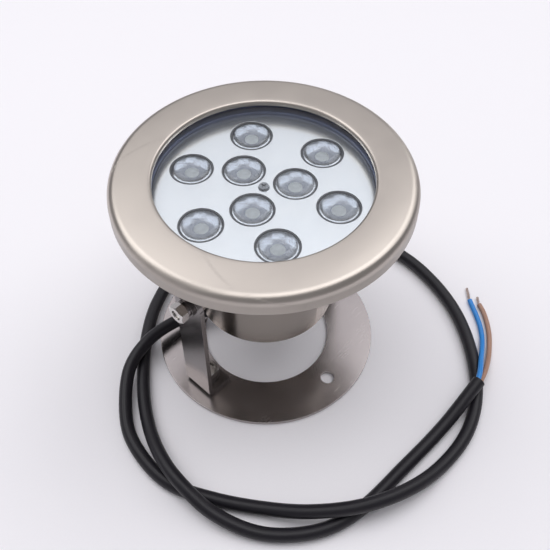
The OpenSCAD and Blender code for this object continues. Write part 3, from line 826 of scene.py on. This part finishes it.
FINISHES = {
    "holder_plastic": speckled("moulded_nylon_holder", "#33373f", "#41454f", 0.4, 0.8),
    "emitter_phosphor": speckled("phosphor_in_silicone", "#cfc79a", "#ddd6ae", 0.35, 0.6),
    "board_white": speckled("white_solder_mask", "#dedfdc", "#ebebe8", 0.35, 2.0),
    "bare_aluminium": speckled("turned_aluminium", "#a9acaf", "#bcbfc2", 0.35, 0.5, 1.0),
    "spacer_brass": speckled("turned_brass", "#b08d3c", "#c9a552", 0.3, 0.5, 1.0),
    "board_green": speckled("green_solder_mask", "#1d5a33", "#27703f", 0.35, 2.0),
    "component_black": speckled("epoxy_casing", "#16171a", "#24262b", 0.45, 1.0),
    "terminal_green": speckled("moulded_terminal_block", "#2b6b42", "#347a4d", 0.45, 1.0),
    "inner_lead_pvc": speckled("lead_insulation", "#3c5a8a", "#4a6a9c", 0.4, 1.5),
}


def finish_node(node, material):
    node.data.materials.clear()
    node.data.materials.append(material)
    for polygon in node.data.polygons:
        polygon.material_index = 0


slot_of = {part["node"]: part["material_slot"] for part in frame["record"]["subparts"]}
for name, node in frame["nodes"].items():
    if slot_of[name] in FINISHES:
        finish_node(node, FINISHES[slot_of[name]])
print("hidden finishes:", len(FINISHES))

# %% [markdown]
# ## The stand, the can and the fasteners
# The base is a flat ring cut from sheet, the brackets are bent flat bar, and the shallow pan and the can
# are spun from sheet and welded. All of them come from the working model with their edges rounded.

# %% Sheet and bar parts
base_steel = stainless("cut_sheet_304", "#b2abaa", 0.24, lambda t: grooves_along(t, 0.35 * MM, 0))
softened("housing", "housing_shell", shaded_spun_steel, 0.3)
softened("base_plate", "base_ring_plate", base_steel, 0.35)
softened("bracket_left", "bracket_left_bar", shaded_bar_steel, 0.45)
softened("bracket_right", "bracket_right_bar", shaded_bar_steel, 0.45)
softened("pivot_bosses", "pivot_boss_pair", shaded_spun_steel, 0.3)

# %% Nuts, washers and screws
for node, edge in (("pivot_nuts", 0.12), ("foot_nuts", 0.12), ("gland_nut", 0.2), ("gland_body", 0.15),
                   ("gland_locknut", 0.15), ("trim_screws", 0.15), ("trim_nuts", 0.12),
                   ("board_screws", 0.12)):
    softened(node, node + "_turned", bright_steel, edge)
dull_steel = stainless("dull_screw_a2", "#9a9da3", 0.28, lambda t: grooves_round(t, 0.4 * MM))
softened("centre_screw", "centre_screw_turned", dull_steel, 0.05)
for node in ("pivot_flat_washers", "foot_flat_washers", "pivot_spring_washers", "foot_spring_washers"):
    softened(node, node + "_stamped", shaded_bar_steel, 0.12)

# %% [markdown]
# ## Threads on the studs
# An M6 thread has a pitch of 1 mm. A helix would need care where it runs out, and at this size rings at
# the same pitch look the same, so each stud is a turned shape whose outline zigzags.

# %% Turn the threaded studs
THREAD_R = 3.0
THREAD_PITCH = 1.0
THREAD_DEPTH = 0.5


def stud_outline(length):
    """A threaded rod along Z from 0 to length, with a chamfer at each end."""
    turns = int(length / THREAD_PITCH - 0.8)
    start = (length - turns * THREAD_PITCH) / 2
    root = THREAD_R - THREAD_DEPTH
    points = [(0, 0), (root, 0), (root + 0.1, start)]
    for k in range(turns):
        z = start + k * THREAD_PITCH
        points += [(root, z + 0.1), (THREAD_R - 0.02, z + 0.45), (THREAD_R - 0.02, z + 0.55), (root, z + 0.9)]
    return points + [(root + 0.1, length - start), (root, length), (0, length)]


def studs(node, name, axis):
    """Two threaded rods in place of a node's two, which lie along one axis at either side of the middle."""
    low, high = (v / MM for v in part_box(node))
    mesh = bmesh.new()
    for side in (-1, 1):
        if axis == "x":
            length = stud_length(node)
            rod = spun("rod", stud_outline(length), bright_steel, 32, 30)
            move = Vector((side * (high.x - length), 0, (low.z + high.z) / 2)) * MM
            turn = Vector((side, 0, 0)).to_track_quat("Z", "Y").to_matrix().to_4x4()
        else:
            rod = spun("rod", stud_outline(high.z - low.z), bright_steel, 32, 30)
            move = Vector((side * (high.x - THREAD_R), 0, low.z)) * MM
            turn = None
        if turn:
            rod.data.transform(turn)
        for vertex in rod.data.vertices:
            vertex.co += move
        mesh.from_mesh(rod.data)
        bpy.data.objects.remove(rod)
    made = object_from(mesh, name, 30)
    made.data.materials.append(bright_steel)
    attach(made, frame["nodes"][node]["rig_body"])
    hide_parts(node)
    return made


def stud_length(node):
    """How long each of a node's two rods along X is, from the gap between them."""
    across = [abs(v.co.x) / MM for v in frame["nodes"][node].data.vertices]
    return max(across) - min(across)


pivot_studs = studs("pivot_studs", "pivot_studs_threaded", "x")
foot_studs = studs("foot_studs", "foot_studs_threaded", "z")
print("stud faces:", len(pivot_studs.data.polygons), len(foot_studs.data.polygons))

# %% [markdown]
# ## Rubber and insulation
# The jacket is extruded rubber: nearly black, dull, with fine lines along its length from the die and a
# trace of talc. The pattern follows the cable, so it reads the tube's own UV map, where one axis runs
# round the jacket and the other along it in metres. The cores are coloured PVC, smoother and glossier.


# %% Cable finishes
def extruded(name, one, other, roughness, lines_round, depth):
    """Extruded rubber or plastic with faint die lines along it."""
    material, tree, shader = new_material(name)
    chart = out(add(tree, "ShaderNodeUVMap", uv_map="UVMap"))
    apart = add(tree, "ShaderNodeSeparateXYZ", {"Vector": chart})
    turn = maths(tree, "MULTIPLY", out(apart, "X"), math.tau)
    drawn = add(tree, "ShaderNodeCombineXYZ", {
        "X": maths(tree, "MULTIPLY", maths(tree, "COSINE", turn), lines_round),
        "Y": maths(tree, "MULTIPLY", maths(tree, "SINE", turn), lines_round),
        "Z": maths(tree, "MULTIPLY", out(apart, "Y"), 12.0)})
    lines = noise(tree, out(drawn), 1.0, 3, 0.6)
    dust = noise(tree, place(tree), 700, 4)
    tree.links.new(blend_colours(tree, dust, srgb(one), srgb(other)), shader.inputs["Base Color"])
    dull = ramp(tree, lines, roughness - 0.08, roughness + 0.08, 0.3, 0.7)
    tree.links.new(dull, shader.inputs["Roughness"])
    bump(tree, shader, lines, depth, 0.6)
    return material, shader


jacket_rubber, shader = extruded("extruded_rubber_jacket", "#0d0a12", "#16131c", 0.46, 7, 6e-5)
constants(shader, sheen_weight=0.03, sheen_roughness=0.5, specular_ior_level=0.4)
blue_pvc, shader = extruded("extruded_blue_pvc", "#2380cf", "#2d8cdb", 0.32, 3, 1e-5)
brown_pvc, shader = extruded("extruded_brown_pvc", "#a07864", "#ae8874", 0.35, 3, 1e-5)
cable.data.materials.append(jacket_rubber)
blue_core.data.materials.append(blue_pvc)
brown_core.data.materials.append(brown_pvc)
finish_node(frame["nodes"]["cable_tail"], jacket_rubber)
gland_rubber = speckled("moulded_gland_seal", "#1c1d20", "#26272b", 0.5, 0.8)
finish_node(frame["nodes"]["gland_seal"], gland_rubber)

# %% [markdown]
# ## The bare copper ends
# Each core is a bundle of thin tinned copper wires, and a few millimetres of it show beyond the
# insulation, slightly twisted. A node tree makes them: it copies the path once for each wire, moves the
# copies out from the middle by a sunflower's rule so that they fill a round bundle evenly, twists them
# and lets them spread a little towards the tip.


# %% The wire tree
def wire_tree(finish):
    tree, inputs, names = new_tree("twisted_wires", [
        ("Wires", "Int"), ("Wire Radius", "Float"), ("Bundle Radius", "Float"), ("Twist", "Float"),
        ("Spread", "Float"), ("Seed", "Int")])
    path = add(tree, "GeometryNodeMeshToCurve", {"Mesh": out(inputs, "Geometry")})
    copies = add(tree, "GeometryNodeDuplicateElements", {
        "Geometry": out(path), "Amount": out(inputs, "Wires")}, domain="SPLINE")
    number = out(copies, "Duplicate Index")
    along = out(add(tree, "GeometryNodeSplineParameter"), "Factor")
    wires = out(inputs, "Wires")
    part = maths(tree, "DIVIDE", maths(tree, "ADD", number, 0.5), wires)
    reach = maths(tree, "MULTIPLY", maths(tree, "SQRT", part), out(inputs, "Bundle Radius"))
    loose = add(tree, "FunctionNodeRandomValue", {
        "Min": 0.0, "Max": 1.0, "ID": number, "Seed": out(inputs, "Seed")}, data_type="FLOAT")
    spread = maths(tree, "MULTIPLY", maths(tree, "MULTIPLY", maths(tree, "POWER", along, 2.0), out(loose)),
                   out(inputs, "Spread"))
    away = maths(tree, "ADD", reach, spread)
    golden = math.pi * (3 - math.sqrt(5))
    angle = maths(tree, "ADD", maths(tree, "MULTIPLY", number, golden),
                  maths(tree, "MULTIPLY", along, out(inputs, "Twist")))
    forward = out(add(tree, "GeometryNodeInputTangent"))
    up = out(add(tree, "GeometryNodeInputNormal"))
    side = add(tree, "ShaderNodeVectorMath", {0: forward, 1: up}, operation="CROSS_PRODUCT")
    one = add(tree, "ShaderNodeVectorMath", {
        0: up, "Scale": maths(tree, "MULTIPLY", away, maths(tree, "COSINE", angle))}, operation="SCALE")
    other = add(tree, "ShaderNodeVectorMath", {
        0: out(side), "Scale": maths(tree, "MULTIPLY", away, maths(tree, "SINE", angle))},
        operation="SCALE")
    offset = add(tree, "ShaderNodeVectorMath", {0: out(one), 1: out(other)}, operation="ADD")
    moved = add(tree, "GeometryNodeSetPosition", {"Geometry": out(copies), "Offset": out(offset)})
    round_wire = add(tree, "GeometryNodeCurvePrimitiveCircle", {
        "Resolution": 8, "Radius": out(inputs, "Wire Radius")})
    solid = add(tree, "GeometryNodeCurveToMesh", {
        "Curve": out(moved), "Profile Curve": out(round_wire), "Fill Caps": True})
    end_tree(tree, out(solid), finish)
    return tree, names


copper, tree, shader = new_material("tinned_copper_wire")
tin = noise(tree, place(tree), 1500, 2)
tree.links.new(blend_colours(tree, tin, srgb("#a98a7c"), srgb("#c9c2bf")), shader.inputs["Base Color"])
tree.links.new(ramp(tree, tin, 0.25, 0.4), shader.inputs["Roughness"])
constants(shader, metallic=1.0)

WIRES = 16
WIRE_R = 0.14 * MM
BUNDLE_R = 0.66 * MM
tree, names = wire_tree(copper)


def bare_wires(name, points, core_line, seed, node):
    line = smooth_route([core_line[-3] * 0.5 + core_line[-2] * 0.5] + points, 6)
    start = ([tuple(p) for p in line], [(k, k + 1) for k in range(len(line) - 1)], [])
    made = grown(name, start, tree, names, {
        "Wires": WIRES, "Wire Radius": WIRE_R, "Bundle Radius": BUNDLE_R, "Twist": 2.4,
        "Spread": 0.25 * MM, "Seed": seed}, 60)
    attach(made, "stand")
    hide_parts(node)
    return made


blue_wires = bare_wires("bare_wires_blue", BLUE_WIRE_POINTS, blue_line, 3, "strands_blue")
brown_wires = bare_wires("bare_wires_brown", BROWN_WIRE_POINTS, brown_line, 8, "strands_brown")
print("wires in each end:", WIRES, "faces:", len(blue_wires.data.polygons))

# %% [markdown]
# ## Which body each cord follows
# The cable leaves the head, which tilts, and then lies on the floor with the stand. Here it follows
# neither and keeps its place as made. The cores and the bare ends only lie on the floor, and follow the
# stand.

for piece, node, slot_name in (
        (cable, "power_cable", "cable_rubber"), (blue_core, "core_blue", "core_blue_pvc"),
        (brown_core, "core_brown", "core_brown_pvc")):
    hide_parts(node)
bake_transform(cable)
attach(blue_core, "stand")
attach(brown_core, "stand")
